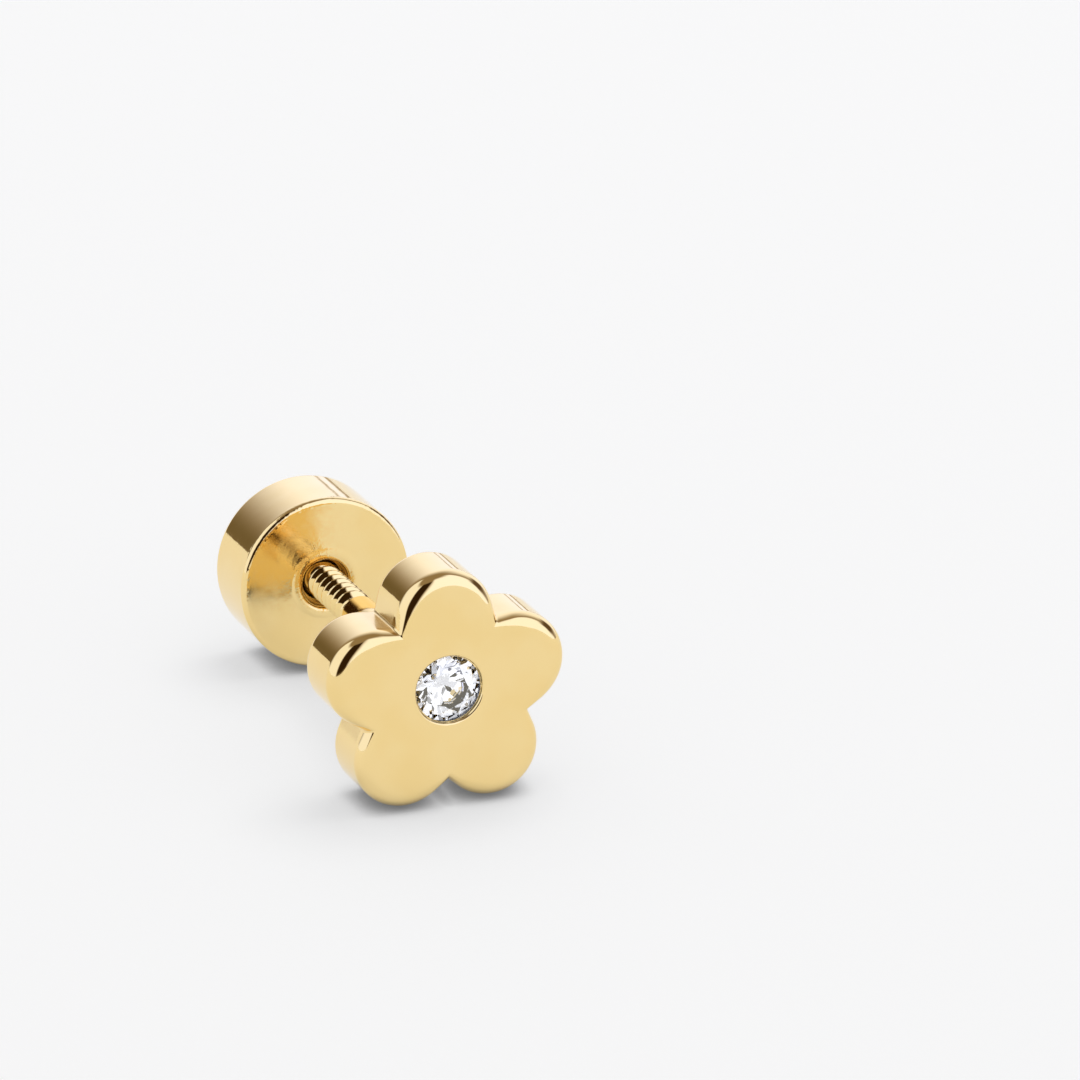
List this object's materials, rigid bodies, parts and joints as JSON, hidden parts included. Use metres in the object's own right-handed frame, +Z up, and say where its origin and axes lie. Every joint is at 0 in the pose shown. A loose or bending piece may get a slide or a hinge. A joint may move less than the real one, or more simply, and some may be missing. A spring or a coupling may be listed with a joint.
{
  "type": "flat back stud earring",
  "caption": "Gold flower stud earring with a round stone set flush in its face, a part-threaded post and a thick round screw back, lying on its side.",
  "frame": {"origin": "on the table, under the middle of the earring's box as it lies on two petals and the rim of its back", "axes": "+X across the flower, +Y from the flower's face towards the screw back, +Z up from the table; the post dips 3.5 degrees below +Y"},
  "size_m": [0.006, 0.0108, 0.0058],
  "materials": {
    "gold_head": "polished warm yellow gold plate on silver",
    "clear_stone": "clear colourless faceted stone",
    "gold_back": "polished warm yellow gold plate on silver"
  },
  "bodies": {
    "head": {"flower_post": "gold_head", "stone": "clear_stone"},
    "back": {"screw_back": "gold_back"}
  },
  "joints": [
    {"name": "back_unscrews", "type": "slide", "parent": "head", "child": "back", "axis": [0, 0.9982, -0.0605], "range_m": [-0.0008, 0.0035]}
  ]
}
